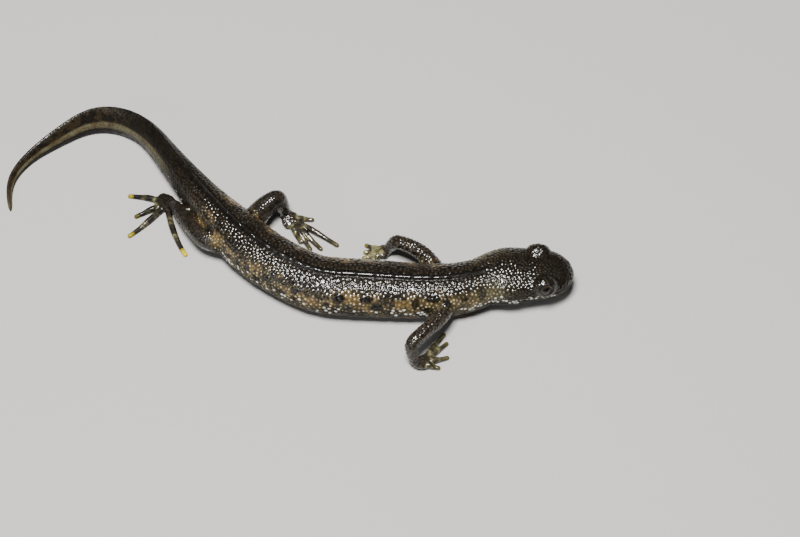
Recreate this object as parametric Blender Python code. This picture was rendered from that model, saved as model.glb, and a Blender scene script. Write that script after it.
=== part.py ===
"""A life-size great crested newt: an adult male in its land dress, walking with its tail laid round.

The body is one smooth form along a bent spine, parted into lengths by thin cuts. Each leg is one
form along its own route, parted at the elbow or knee and at the wrist or ankle.
Sizes are in millimetres here and become metres where a mesh is made.
"""

import math

import bmesh
import bpy
import numpy as np
from mathutils import Vector

MM = 0.001  # one millimetre in metres
GAP = 0.3  # clear space between neighbouring pieces
LENGTH = 133.0  # from the snout's tip to the tail's tip, along the spine
SNOUT = (52.9, -9.307)  # where the snout's tip is, on the floor's X and Y

# How the spine bends: (distance behind the snout, heading of the body there in degrees)
BENDS = (
    (0, 4), (12, 5), (17, 19.5), (24, 4.5), (33, -3.5), (44, -5.5), (49, -24), (56, -34.5),
    (64, -46), (74, -52), (85, -54.5), (92, -53), (98, -31), (104, -3.5), (110, 28), (118, 39),
    (124, 60.5), (129, 91.5), (133, 102),
)

# The body's sections: (distance behind the snout, half width, top, underside, fullness).
# A fullness of 2 is an ellipse, more is boxier, less is pointed above and below.
SECTIONS = (
    (0, 4.25, 6.7, 2.7, 2.4), (3, 4.6, 7.35, 2.3, 2.4), (6, 4.95, 7.9, 1.9, 2.4),
    (9, 5.35, 8.3, 1.5, 2.3), (12, 5.6, 8.6, 1.1, 2.3), (14.5, 5.2, 8.7, 0.8, 2.2),
    (17, 4.6, 8.6, 0.5, 2.2), (20, 4.7, 8.7, 0.1, 2.2), (25, 4.95, 8.8, -0.15, 2.2),
    (33, 5.25, 8.95, -0.25, 2.2), (42, 5.4, 9.1, -0.25, 2.2), (50, 5.2, 9.05, -0.25, 2.2),
    (58, 5.1, 9.0, -0.2, 2.2), (66, 4.8, 8.85, -0.15, 2.15), (72, 4.0, 8.6, -0.1, 2.1),
    (78, 3.3, 8.3, -0.1, 1.9), (86, 2.6, 8.0, -0.1, 1.7), (96, 1.9, 7.4, -0.1, 1.6),
    (105, 1.2, 6.5, -0.1, 1.6), (113, 0.95, 4.7, -0.1, 1.6), (120, 0.75, 3.1, -0.1, 1.6),
    (126, 0.6, 2.3, -0.1, 1.7), (130, 0.5, 1.7, -0.1, 1.8), (133, 0.4, 1.1, -0.1, 2.0),
)
TAIL_LEAN = ((0, 0), (74, 0), (88, 5), (100, 12), (112, 20), (124, 27), (133, 28))  # degrees, to the left
RIDGE = ((0, 0), (16, 0), (24, 0.3), (40, 0.4), (70, 0.45), (80, 0.3), (100, 0.1), (133, 0))
RIDGE_WIDTH = 0.5
SNOUT_ROUND = 4.5  # length over which the snout rounds off, seen from above
SNOUT_ROUND_SIDE = 3.2  # and seen from the side
TAIL_ROUND = 1.6
FLOOR_FLAT = 0.12  # how far a leaning tail's lower edge is flattened on the floor

# The lengths into which the body is parted: (name, where it starts, where it ends, ring spacing, ring points)
LENGTHS = (
    ("head", 0, 16.6, 0.66, 38), ("neck", 16.6, 19.8, 0.8, 32), ("chest", 19.8, 30, 1.5, 32),
    ("trunk_front", 30, 43, 1.6, 32), ("trunk_rear", 43, 56, 1.6, 32), ("hips", 56, 70, 1.6, 32),
    ("tail_root", 70, 83, 1.6, 26), ("tail_fore", 83, 98, 1.7, 22), ("tail_middle", 98, 114, 1.6, 20),
    ("tail_tip", 114, 133, 1.6, 16),
)

EYE_RADIUS = 1.35
# Each eye: behind the snout, to the left of the spine, above the floor
EYE_PLACES = {"left": (6.3, 4.0, 6.7), "right": (5.8, -4.0, 6.7)}
LID_RADII = (2.0, 2.45, 2.05)  # across, along and above
LID_INSET = 0.55  # how much further in the lid's centre lies than the eye's
MOUTH_CORNER = 10.2  # behind the snout
MOUTH_LINE = ((0, 4.3), (3, 4.45), (7, 4.5), (10.5, 4.95))  # its height along the jaw
MOUTH_DEPTH = 0.45
MOUTH_GAPE = 0.26
NOSTRIL_PLACE = (0.95, 1.75, 5.75)
NOSTRIL_RADII = (0.26, 0.4, 0.26)

# Each leg: joints as (along the spine, sideways from it with left positive, height), then its
# digits as (direction on the floor in degrees, length, bend along it in degrees).
LEGS = {
    "right_fore": {
        "joints": ((23.4, -2.4, 4.6), (25.6, -6.9, 5.4), (29.4, -11.7, 5.9), (29.6, -12.6, 3.7),
                   (28.9, -13.5, 1.5), (28.2, -13.2, 0.9), (27.5, -12.7, 0.75)),
        "digits": ((56, 7.4, -6), (43, 6.3, 0), (16, 4.9, 4), (-14, 3.2, 8)),
    },
    "left_fore": {
        "joints": ((24.4, 2.6, 4.6), (28.0, 7.5, 5.2), (32.8, 9.9, 5.0), (34.2, 10.4, 3.3),
                   (35.0, 10.5, 1.5), (35.6, 10.4, 0.9), (36.2, 10.3, 0.75)),
        "digits": ((156, 3.8, -10), (179, 3.7, 0), (197, 4.1, 0), (219, 3.4, 10)),
    },
    "left_hind": {
        "joints": ((65.4, 1.8, 4.4), (66.6, 6.6, 5.0), (66.3, 9.9, 5.6), (65.6, 10.6, 3.6),
                   (64.6, 10.8, 1.6), (63.4, 10.8, 1.0), (62.2, 10.7, 0.8)),
        "digits": ((-66, 5.4, 10), (-58, 7.6, 0), (-47, 8.8, 0), (-32, 10.6, -8), (0, 4.3, -10)),
    },
    "right_hind": {
        "joints": ((64.6, -1.4, 4.4), (68.6, -4.6, 4.4), (72.8, -5.0, 4.2), (77.2, -4.6, 3.1),
                   (79.8, -4.5, 1.8), (81.3, -4.9, 1.0), (82.5, -5.5, 0.8)),
        "digits": ((-46, 4.5, 16), (-71, 11.8, 24), (-134, 9.7, -14), (-155, 6.3, 5), (165, 7.4, 20)),
    },
}
# Half width and half thickness of a leg at its joints, root first
FORE_SIZES = ((1.9, 1.9), (1.45, 1.45), (1.28, 1.25), (1.2, 1.15), (0.95, 0.85), (1.45, 0.75), (1.5, 0.7))
HIND_SIZES = ((2.5, 2.4), (2.1, 2.0), (1.75, 1.65), (1.45, 1.4), (1.1, 0.95), (1.75, 0.85), (1.8, 0.75))
JOINT_CUTS = (2, 4)  # the joints at which a leg is parted
DIGIT_RADII = (0.72, 0.58, 0.6, 0.5, 0.46)  # from root to tip
PAD_END = 1.1  # how far the pad of a hand or foot reaches past its last joint
DIGIT_HEIGHT = 0.8  # height of a digit's middle above the floor, in its own radii

SKIN_COLOUR = (0.045, 0.032, 0.02, 1)
EYE_COLOUR = (0.02, 0.015, 0.01, 1)


def between(table, at, column=1):
    """A smooth value from a table of rows, each starting with its place."""
    places = [row[0] for row in table]
    last = len(table) - 1
    at = min(max(at, places[0]), places[-1])
    left = max(i for i in range(last) if places[i] <= at)

    def slope(i):
        before, after = max(i - 1, 0), min(i + 1, last)
        return (table[after][column] - table[before][column]) / (places[after] - places[before])

    span = places[left + 1] - places[left]
    t = (at - places[left]) / span
    rise = span * ((t**3 - 2 * t**2 + t) * slope(left) + (t**3 - t**2) * slope(left + 1))
    blend = 3 * t**2 - 2 * t**3
    return table[left][column] * (1 - blend) + table[left + 1][column] * blend + rise


SPINE_STEP = 0.25


def walk_spine():
    """The spine's points and headings every SPINE_STEP, from the snout back."""
    x, y = SNOUT
    found = []
    for i in range(round(LENGTH / SPINE_STEP) + 1):
        at = i * SPINE_STEP
        found.append((x, y, math.radians(between(BENDS, at))))
        middle = math.radians(between(BENDS, at + SPINE_STEP / 2))
        x -= math.cos(middle) * SPINE_STEP
        y -= math.sin(middle) * SPINE_STEP
    return found


SPINE = walk_spine()


def beside(at, sideways, height):
    """The point at a distance behind the snout, to the left of the spine, above the floor."""
    i = min(int(at / SPINE_STEP), len(SPINE) - 2)
    share = at / SPINE_STEP - i
    x, y, heading = (a + (b - a) * share for a, b in zip(SPINE[i], SPINE[i + 1]))
    return Vector((x - math.sin(heading) * sideways, y + math.cos(heading) * sideways, height))


def rounding(distance, over):
    """How much a form keeps of its size at a distance from its rounded end."""
    short = 1 - min(distance, over) / over
    return math.sqrt(max(1 - short * short, 0))


def section(at, grown=0.0):
    """Half width, middle height, half height and fullness of the body at a place."""
    half_width, top, under, fullness = (between(SECTIONS, at, column) for column in (1, 2, 3, 4))
    tail_end = rounding(LENGTH - at, TAIL_ROUND)
    half_width *= rounding(at, SNOUT_ROUND) * tail_end
    half_height = (top - under) / 2 * rounding(at, SNOUT_ROUND_SIDE) * tail_end
    return half_width + grown, (top + under) / 2, half_height + grown, fullness


def body_ring(at, count, grown=0.0):
    """The points round the body at a place, from the top over the left side."""
    half_width, middle, half_height, fullness = section(at, grown)
    lean = math.radians(between(TAIL_LEAN, at))
    ring = []
    for k in range(count):
        turn = 2 * k / count - 1
        angle = math.copysign(math.pi * abs(turn) ** 1.12, turn)
        across, up = math.sin(angle), math.cos(angle)
        side = math.copysign(half_width * abs(across) ** (2 / fullness), across)
        rise = math.copysign(half_height * abs(up) ** (2 / fullness), up)
        if up > 0:
            rise += between(RIDGE, at) * math.exp(-((side / RIDGE_WIDTH) ** 2))
        ring.append((
            side * math.cos(lean) + rise * math.sin(lean),
            middle - side * math.sin(lean) + rise * math.cos(lean),
        ))
    if lean > 0:
        drop = min(height for _, height in ring) + FLOOR_FLAT
        ring = [(side, height - drop) for side, height in ring]
    floor = -grown
    return [beside(at, side, max(height, floor)) for side, height in ring]


def make_material(name, colour, roughness):
    material = bpy.data.materials.new(name)
    material.use_nodes = True
    shader = material.node_tree.nodes["Principled BSDF"]
    shader.inputs["Base Color"].default_value = colour
    shader.inputs["Roughness"].default_value = roughness
    shader.inputs["Metallic"].default_value = 0
    return material


def solid(name, rings, material=None):
    """A closed object through rings of points in millimetres. A ring of one point is a tip."""
    mesh = bmesh.new()
    rows = [[mesh.verts.new(point * MM) for point in ring] for ring in rings]
    for first, second in zip(rows, rows[1:]):
        count = max(len(first), len(second))
        for k in range(count):
            corners = [first[k % len(first)], second[k % len(second)],
                       second[(k + 1) % len(second)], first[(k + 1) % len(first)]]
            mesh.faces.new(dict.fromkeys(corners))
    for row in (rows[0], rows[-1]):
        if len(row) > 2:
            mesh.faces.new(row)
    bmesh.ops.triangulate(mesh, faces=mesh.faces)
    bmesh.ops.recalc_face_normals(mesh, faces=mesh.faces)
    data = bpy.data.meshes.new(name)
    mesh.to_mesh(data)
    mesh.free()
    made = bpy.data.objects.new(name, data)
    bpy.context.scene.collection.objects.link(made)
    if material:
        data.materials.append(material)
    return made


def ball(name, centre, radii, rings=9, around=18):
    """A round closed object with its own radius across, along and above. Its tips point sideways."""
    wide, long, high = radii
    rows = [[centre + Vector((0, wide, 0))]]
    for i in range(1, rings):
        polar = math.pi * i / rings
        rows.append([
            centre + Vector((
                long * math.sin(polar) * math.cos(2 * math.pi * k / around),
                wide * math.cos(polar),
                high * math.sin(polar) * math.sin(2 * math.pi * k / around),
            ))
            for k in range(around)
        ])
    rows.append([centre - Vector((0, wide, 0))])
    return solid(name, rows)


def combine(target, others, operation):
    """Joins or cuts a group of closed objects with the target, and removes them."""
    group = bpy.data.collections.new("helpers")
    for other in others:
        group.objects.link(other)
    boolean = target.modifiers.new("combine", "BOOLEAN")
    boolean.operation = operation
    boolean.operand_type = "COLLECTION"
    boolean.collection = group
    boolean.solver = "EXACT"
    boolean.use_self = True
    bpy.context.view_layer.objects.active = target
    bpy.ops.object.modifier_apply(modifier=boolean.name)
    for other in others:
        bpy.data.objects.remove(other)
    bpy.data.collections.remove(group)


def keep_largest(made):
    """Drops all but the largest closed surface of an object."""
    mesh = bmesh.new()
    mesh.from_mesh(made.data)
    left, groups = set(mesh.faces), []
    while left:
        found, edge = set(), [left.pop()]
        while edge:
            face = edge.pop()
            found.add(face)
            near = {other for side in face.edges for other in side.link_faces} & left
            left -= near
            edge.extend(near)
        groups.append(found)
    groups.sort(key=lambda faces: sum(face.calc_area() for face in faces))
    for faces in groups[:-1]:
        bmesh.ops.delete(mesh, geom=list(faces), context="FACES")
    bmesh.ops.triangulate(mesh, faces=mesh.faces)
    mesh.to_mesh(made.data)
    mesh.free()


def body_length(name, start, end, spacing, count, material, grown=0.0):
    """One length of the body, between two cuts across the spine."""
    first = start + (GAP / 2 if start > 0 else 0)
    last = end - (GAP / 2 if end < LENGTH else 0)
    steps = max(2, round((last - first) / spacing))
    places = [first + (last - first) * i / steps for i in range(steps + 1)]
    if start == 0:
        places = [last * (1 - math.cos(math.pi / 2 * i / steps)) for i in range(steps + 1)]
        places = [(a + last * i / steps) / 2 for i, a in enumerate(places)]
    if end == LENGTH:
        places[-1:] = [last - 0.8, last - 0.3, last]
    rings = []
    for at in places:
        at_tip = (start == 0 and at == 0) or at == LENGTH
        ring = body_ring(at, count, grown)
        rings.append([sum(ring, Vector()) / count] if at_tip else ring)
    return solid(name, rings, material)


def mouth_cutter():
    """A thin horseshoe blade that follows the line of the mouth, half sunk in the jaw."""
    steps = 22

    def lip(at):
        half_width, middle, half_height, fullness = section(at)
        share = abs(between(MOUTH_LINE, at) - middle) / max(half_height, 1e-6)
        return half_width * max(1 - share**fullness, 0) ** (1 / fullness)

    front = next(i / 200 for i in range(1, 400) if lip(i / 200) > 0)
    side = []
    for i in range(steps + 1):
        at = front + (MOUTH_CORNER - front) * (1 - math.cos(math.pi / 2 * i / steps))
        side.append((at, lip(at) if i else 0.0))
    route = [(at, -wide) for at, wide in reversed(side[1:])] + side
    rings = []
    for i, (at, wide) in enumerate(route):
        before, after = route[max(i - 1, 0)], route[min(i + 1, len(route) - 1)]
        along = Vector((after[0] - before[0], after[1] - before[1])).normalized()
        out = Vector((-along.y, along.x))
        if out.dot(Vector((at - 6.0, wide))) < 0:
            out = -out
        inner = Vector((at, wide)) - out * MOUTH_DEPTH
        outer = Vector((at, wide)) + out * 1.2
        height = between(MOUTH_LINE, at)
        half = MOUTH_GAPE / 2
        rings.append([
            ahead(point, height + rise)
            for point, rise in ((inner, half), (inner, -half), (outer, -half), (outer, half))
        ])
    return solid("mouth_cutter", rings)


def ahead(point, height):
    """The place of a point given along and across the head, also in front of the snout."""
    at, sideways = point
    forward = Vector((math.cos(SPINE[0][2]), math.sin(SPINE[0][2]), 0))
    return beside(max(at, 0), sideways, height) + forward * max(-at, 0)


def shape_head(head):
    """Adds the lids, and cuts the eye sockets, the line of the mouth and the nostrils."""
    lids, cuts = [], [mouth_cutter()]
    for at, sideways, height in EYE_PLACES.values():
        centre = beside(at, sideways, height)
        inward = (beside(at, 0, height - 1.6) - centre).normalized()
        lids.append(ball("lid", centre + inward * LID_INSET, LID_RADII, 10, 20))
        cuts.append(ball("socket", centre, [EYE_RADIUS + GAP] * 3, 10, 20))
    nostril_at, nostril_side, nostril_height = NOSTRIL_PLACE
    for side in (1, -1):
        nostril = beside(nostril_at, side * nostril_side, nostril_height)
        cuts.append(ball("nostril", nostril, NOSTRIL_RADII, 6, 8))
    combine(head, lids, "UNION")
    combine(head, cuts, "DIFFERENCE")
    keep_largest(head)


def smooth_route(points, steps):
    """Points along a smooth curve through the given ones, with the share of the way in joints."""
    found = []
    last = len(points) - 1
    for i in range(last):
        before, after = points[max(i - 1, 0)], points[min(i + 2, last)]
        a, b = points[i], points[i + 1]
        for k in range(steps + (i == last - 1)):
            t = k / steps
            leave, arrive = (b - before) / 2, (after - a) / 2
            point = (
                a * (2 * t**3 - 3 * t**2 + 1) + leave * (t**3 - 2 * t**2 + t)
                + b * (3 * t**2 - 2 * t**3) + arrive * (t**3 - t**2)
            )
            found.append((i + t, point))
    return found


def tube_rings(route, sizes, count, ups):
    """Rings across a route, each with its own half width and half thickness."""
    rings = []
    for i, point in enumerate(route):
        along = (route[min(i + 1, len(route) - 1)] - route[max(i - 1, 0)]).normalized()
        side = along.cross(ups[i]).normalized()
        up = side.cross(along)
        wide, thick = sizes[i]
        rings.append([
            point
            + side * wide * math.cos(2 * math.pi * k / count)
            + up * thick * math.sin(2 * math.pi * k / count)
            for k in range(count)
        ])
    return rings


def carried_ups(route):
    """An up direction for each ring, level at the foot and carried back up the leg."""
    ups = [Vector((0, 0, 1))]
    for i in range(len(route) - 1, 0, -1):
        along = (route[min(i + 1, len(route) - 1)] - route[max(i - 1, 0)]).normalized()
        up = ups[0] - along * ups[0].dot(along)
        ups.insert(0, up.normalized())
    return ups


LEG_STEPS = 6
LEG_POINTS = 14
DIGIT_POINTS = 7
LEG_LEAD = 2  # rings by which a lower length starts inside the one above, before it is cut clear


def leg_rings(joints, sizes, grown=0.0):
    """The rings down a whole leg, each with its place counted in joints."""
    places, route = zip(*smooth_route([beside(*joint) for joint in joints], LEG_STEPS))
    rows = [(i, *size) for i, size in enumerate(sizes)]
    widths = [(between(rows, at, 1) + grown, between(rows, at, 2) + grown) for at in places]
    return list(places), tube_rings(route, widths, LEG_POINTS, carried_ups(route))


def end_moved(rings, distance):
    """Rings with the last one moved along the leg, onward if the distance is above zero."""
    last = sum(rings[-1], Vector()) / len(rings[-1])
    before = sum(rings[-2], Vector()) / len(rings[-2])
    step = (last - before).normalized() * distance
    return rings[:-1] + [[point + step for point in rings[-1]]]


def digit(hub, direction, length, bend):
    """One finger or toe, from within the foot out along the floor."""
    steps = 6
    heading = math.radians(direction - bend / 2)
    point = Vector((hub.x, hub.y, 0))
    radii = [(i, radius) for i, radius in enumerate(DIGIT_RADII)]
    route, sizes = [], []
    for i in range(steps + 1):
        share = i / steps
        radius = between(radii, share * (len(DIGIT_RADII) - 1))
        lift = 0.35 * math.sin(math.pi * min(share * 1.3, 1))
        route.append(Vector((point.x, point.y, radius * DIGIT_HEIGHT + lift)))
        sizes.append((radius, radius))
        point += Vector((math.cos(heading), math.sin(heading), 0)) * length / steps
        heading += math.radians(bend) / steps
    rings = tube_rings(route, sizes, DIGIT_POINTS, [Vector((0, 0, 1))] * len(route))
    forward = (route[-1] - route[-2]).normalized()
    tip_radius = DIGIT_RADII[-1]
    shoulder = [route[-1] + forward * tip_radius * 0.6 + (p - route[-1]) * 0.75 for p in rings[-1]]
    rings += [shoulder, [route[-1] + forward * tip_radius]]
    return solid("digit", rings)


def floor_cutter():
    """A block under the floor, to flatten what rests on it."""
    bpy.ops.mesh.primitive_cube_add(size=1, location=(0, 0, -0.05))
    block = bpy.context.object
    block.name = "floor_cutter"
    block.scale = (0.4, 0.4, 0.1)
    bpy.ops.object.transform_apply(location=False, rotation=False, scale=True)
    return block


def make_leg(name, leg, material):
    """The upper and lower length of a leg, and its hand or foot with the digits."""
    fore = name.endswith("fore")
    sizes = FORE_SIZES if fore else HIND_SIZES
    names = ("upper_arm", "forearm", "hand") if fore else ("thigh", "shank", "foot")
    places, rings = leg_rings(leg["joints"], sizes)
    grown = leg_rings(leg["joints"], sizes, GAP)[1]
    cuts = [0] + [places.index(joint) for joint in JOINT_CUTS] + [len(rings) - 1]
    for piece, start, end in zip(names, cuts, cuts[1:]):
        whole = rings[max(start - LEG_LEAD, 0):end + 1]
        is_foot = piece in ("hand", "foot")
        if is_foot:
            whole += rounded_end(whole)
        else:
            whole = end_moved(whole, -GAP / 2)
        made = solid(f"{name}_{piece}", whole, material)
        if is_foot:
            hub = beside(*leg["joints"][-2])
            combine(made, [digit(hub, *shape) for shape in leg["digits"]], "UNION")
            combine(made, [floor_cutter()], "DIFFERENCE")
        if start > 0:
            above = grown[cuts[cuts.index(start) - 1]:start + 1]
            combine(made, [solid("length_above", end_moved(above, GAP / 2))], "DIFFERENCE")
        if not is_foot:
            start_at, end_at = (14, 44) if fore else (50, 98)
            body = body_length("body_cutter", start_at, end_at, 1.2, 40, None, grown=GAP)
            combine(made, [body], "DIFFERENCE")
        keep_largest(made)


def rounded_end(rings):
    """Two more rings that close a hand's or foot's pad with a soft end."""
    last = sum(rings[-1], Vector()) / len(rings[-1])
    before = sum(rings[-2], Vector()) / len(rings[-2])
    reach = (last - before).normalized() * PAD_END
    soft = [last + reach * 0.7 + (point - last) * 0.72 for point in rings[-1]]
    return [soft, [last + reach]]


def shade(made):
    made.data.shade_smooth()
    made.data.set_sharp_from_angle(angle=math.radians(40))


def main():
    for old in list(bpy.data.objects):
        bpy.data.objects.remove(old)
    skin = make_material("skin", SKIN_COLOUR, 0.35)
    eye = make_material("eye", EYE_COLOUR, 0.08)
    for name, start, end, spacing, count in LENGTHS:
        made = body_length(name, start, end, spacing, count, skin)
        if name == "head":
            shape_head(made)
    for side, place in EYE_PLACES.items():
        eyeball = ball(f"{side}_eye", beside(*place), [EYE_RADIUS] * 3)
        eyeball.data.materials.append(eye)
    for name, leg in LEGS.items():
        make_leg(name, leg, skin)
    for made in bpy.context.scene.objects:
        shade(made)


main()
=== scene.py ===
# %% [markdown]
# # A great crested newt on land, life size
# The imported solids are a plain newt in 24 lengths. This lesson dresses them: one granular wet skin takes the
# place of all the flesh, and two detailed eyes take the place of the two balls. Nothing moves, so every
# piece rides on the one body, "root".

# %% Load the solids
import math

import bpy
import numpy as np
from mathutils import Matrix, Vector
from mathutils.kdtree import KDTree


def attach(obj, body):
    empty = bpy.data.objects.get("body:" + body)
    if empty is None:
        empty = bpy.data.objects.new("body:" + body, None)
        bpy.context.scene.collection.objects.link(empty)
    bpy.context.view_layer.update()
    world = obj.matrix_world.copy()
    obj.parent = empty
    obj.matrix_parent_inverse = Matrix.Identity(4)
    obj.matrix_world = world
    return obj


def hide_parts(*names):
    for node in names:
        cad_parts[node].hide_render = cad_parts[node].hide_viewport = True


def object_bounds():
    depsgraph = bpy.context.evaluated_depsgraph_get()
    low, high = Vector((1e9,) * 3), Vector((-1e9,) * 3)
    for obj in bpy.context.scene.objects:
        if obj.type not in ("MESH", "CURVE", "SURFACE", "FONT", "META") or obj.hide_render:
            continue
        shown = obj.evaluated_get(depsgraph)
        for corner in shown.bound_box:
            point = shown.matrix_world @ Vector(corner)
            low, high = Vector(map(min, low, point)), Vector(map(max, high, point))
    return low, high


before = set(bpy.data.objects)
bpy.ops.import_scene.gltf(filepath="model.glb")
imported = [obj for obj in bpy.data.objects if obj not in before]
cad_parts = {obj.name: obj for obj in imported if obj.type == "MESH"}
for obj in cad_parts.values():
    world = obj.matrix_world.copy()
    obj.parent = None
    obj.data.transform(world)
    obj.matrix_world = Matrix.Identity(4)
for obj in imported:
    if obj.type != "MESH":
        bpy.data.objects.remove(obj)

cad_low, cad_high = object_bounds()
MM = 0.001  # one millimetre in metres


def box_size(low, high):
    return [round((b - a) / MM, 1) for a, b in zip(low, high)]


def add_object(name, data):
    """Makes an object and puts it in the scene."""
    made = bpy.data.objects.new(name, data)
    bpy.context.scene.collection.objects.link(made)
    return made


print("solids:", len(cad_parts), "box in mm:", box_size(cad_low, cad_high))

# %% [markdown]
# The skin has to lie on the solids, so it starts from the same sizes: a spine that bends on the floor, and
# sections across it. A table and one smooth interpolation are easier to correct than hundreds of points.

# %% The spine and the sections, in millimetres
LENGTH = 133.0  # from snout to tail tip, along the spine
SNOUT = (52.9, -9.307)
BENDS = np.array([
    (0, 4), (12, 5), (17, 19.5), (24, 4.5), (33, -3.5), (44, -5.5), (49, -24), (56, -34.5),
    (64, -46), (74, -52), (85, -54.5), (92, -53), (98, -31), (104, -3.5), (110, 28), (118, 39),
    (124, 60.5), (129, 91.5), (133, 102),
])
# distance behind the snout, half width, top, underside, fullness
SECTIONS = np.array([
    (0, 4.25, 6.7, 2.7, 2.4), (3, 4.6, 7.35, 2.3, 2.4), (6, 4.95, 7.9, 1.9, 2.4),
    (9, 5.35, 8.3, 1.5, 2.3), (12, 5.6, 8.6, 1.1, 2.3), (14.5, 5.2, 8.7, 0.8, 2.2),
    (17, 4.6, 8.6, 0.5, 2.2), (20, 4.7, 8.7, 0.1, 2.2), (25, 4.95, 8.8, -0.15, 2.2),
    (33, 5.25, 8.95, -0.25, 2.2), (42, 5.4, 9.1, -0.25, 2.2), (50, 5.2, 9.05, -0.25, 2.2),
    (58, 5.1, 9.0, -0.2, 2.2), (66, 4.8, 8.85, -0.15, 2.15), (72, 4.0, 8.6, -0.1, 2.1),
    (78, 3.3, 8.3, -0.1, 1.9), (86, 2.6, 8.0, -0.1, 1.7), (96, 1.9, 7.4, -0.1, 1.6),
    (105, 1.2, 6.5, -0.1, 1.6), (113, 0.95, 4.7, -0.1, 1.6), (120, 0.75, 3.1, -0.1, 1.6),
    (126, 0.6, 2.3, -0.1, 1.7), (130, 0.5, 1.7, -0.1, 1.8), (133, 0.4, 1.1, -0.1, 2.0),
])
TAIL_LEAN = np.array([(0, 0), (74, 0), (88, 5), (100, 12), (112, 20), (124, 27), (133, 28)])
RIDGE = np.array([(0, 0), (16, 0), (24, 0.3), (40, 0.4), (70, 0.45), (80, 0.3), (100, 0.1), (133, 0)])
RIDGE_WIDTH = 0.42
SNOUT_ROUND, SNOUT_ROUND_SIDE, TAIL_ROUND = 4.5, 3.2, 1.6
FLOOR_FLAT = 0.12
SKIN_INSET = 0.09  # the skin starts this far inside the solids, so that its granules end level with them


def between(table, at, column=1):
    """Smooth values from a table whose rows start with their place."""
    places, values = table[:, 0], table[:, column]
    at = np.clip(at, places[0], places[-1])
    left = np.clip(np.searchsorted(places, at, "right") - 1, 0, len(places) - 2)
    before = np.maximum(np.arange(len(places)) - 1, 0)
    after = np.minimum(np.arange(len(places)) + 1, len(places) - 1)
    slope = (values[after] - values[before]) / (places[after] - places[before])
    span = places[left + 1] - places[left]
    t = (at - places[left]) / span
    rise = span * ((t**3 - 2 * t**2 + t) * slope[left] + (t**3 - t**2) * slope[left + 1])
    blend = 3 * t**2 - 2 * t**3
    return values[left] * (1 - blend) + values[left + 1] * blend + rise


def smooth_step(low, high, value):
    """0 below low, 1 above high, and a soft ramp between them."""
    t = np.clip((value - low) / (high - low), 0, 1)
    return t * t * (3 - 2 * t)


def bell(value, width):
    return np.exp(-((value / width) ** 2))


SPINE_STEP = 0.25
stations = np.arange(round(LENGTH / SPINE_STEP) + 1) * SPINE_STEP
headings = np.radians(between(BENDS, stations))
steps = np.radians(between(BENDS, stations[:-1] + SPINE_STEP / 2))
spine_x = SNOUT[0] - np.concatenate([[0], np.cumsum(np.cos(steps))]) * SPINE_STEP
spine_y = SNOUT[1] - np.concatenate([[0], np.cumsum(np.sin(steps))]) * SPINE_STEP
print("the spine ends at", round(spine_x[-1], 2), round(spine_y[-1], 2))


def beside(at, sideways, height):
    """Points behind the snout, to the left of the spine and above the floor, as rows of x, y, z."""
    x, y, heading = (np.interp(at, stations, line) for line in (spine_x, spine_y, headings))
    x = x - np.sin(heading) * sideways
    y = y + np.cos(heading) * sideways
    return np.stack(np.broadcast_arrays(x, y, height), axis=-1)


# %% [markdown]
# ## Clay
# A sculptor would rough out the body, legs and toes as overlapping lumps of clay and then smooth the joins.
# The same works here. Each lump is a closed tube of rings. They could be joined by Booleans, but those
# leave a hard crease at each shoulder and hip. A voxel remesh melts the lumps into one even skin instead.

# %% Tubes of rings
clay_points, clay_faces = [], []


def tube_faces(count, around, first=0):
    """A closed tube's faces: quads between its rings, and a fan at each end."""
    k = np.arange(around)
    turn = (k + 1) % around
    found = []
    for i in range(count - 1):
        here, there = first + i * around, first + (i + 1) * around
        found += zip(here + k, there + k, there + turn, here + turn)
    last, end = first + (count - 1) * around, first + count * around
    found += zip([end] * around, first + k, first + turn)
    found += zip([end + 1] * around, last + turn, last + k)
    return [list(map(int, face)) for face in found]


def add_tube(rings):
    """Adds a closed tube to the clay."""
    first = sum(len(points) for points in clay_points)
    ends = np.array([rings[0].mean(0), rings[-1].mean(0)])
    clay_points.append(np.concatenate([rings.reshape(-1, 3), ends]))
    clay_faces.extend(tube_faces(len(rings), len(rings[0]), first))


def rounding(distance, over):
    """How much a form keeps of its size at a distance from its rounded end."""
    short = 1 - np.minimum(distance, over) / over
    return np.sqrt(np.maximum(1 - short**2, 0))


def section(at):
    """Half width, middle height, half height and fullness of the body at each place."""
    half_width, top, under, fullness = (between(SECTIONS, at, column) for column in (1, 2, 3, 4))
    tail_end = rounding(LENGTH - at, TAIL_ROUND)
    half_width = half_width * rounding(at, SNOUT_ROUND) * tail_end
    half_height = (top - under) / 2 * rounding(at, SNOUT_ROUND_SIDE) * tail_end
    return half_width, (top + under) / 2, half_height, fullness


print("widest at", stations[section(stations)[0].argmax()], "mm behind the snout")

# %% [markdown]
# The trunk is one tube from snout to tail tip. Its rings stand closer at the snout, where the form turns
# fast. The ridge is a narrow swelling of the rings. Two waves that drift apart give it small notches.

# %% The body's tube
BODY_RINGS, BODY_POINTS, SNOUT_RINGS = 420, 120, 26
END_GAP = 0.02
ring_at = END_GAP + (LENGTH - 2 * END_GAP) * np.linspace(0, 1, BODY_RINGS)
snout_at = SNOUT_ROUND * (1 - np.cos(np.linspace(0.06, math.pi / 2, SNOUT_RINGS)))
ring_at = np.concatenate([snout_at[:-1], ring_at[ring_at > SNOUT_ROUND]])
half_width, middle, half_height, fullness = (row[:, None] for row in section(ring_at))
half_width = np.maximum(half_width - SKIN_INSET, END_GAP)
half_height = np.maximum(half_height - SKIN_INSET, END_GAP)
turn = 2 * np.arange(BODY_POINTS) / BODY_POINTS - 1
angle = np.sign(turn) * math.pi * np.abs(turn) ** 1.12
across, up = np.sin(angle), np.cos(angle)
side = np.sign(across) * half_width * np.abs(across) ** (2 / fullness)
rise = np.sign(up) * half_height * np.abs(up) ** (2 / fullness)
RIDGE_NOTCHES = 2.3  # one notch in the ridge every so many millimetres
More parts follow.
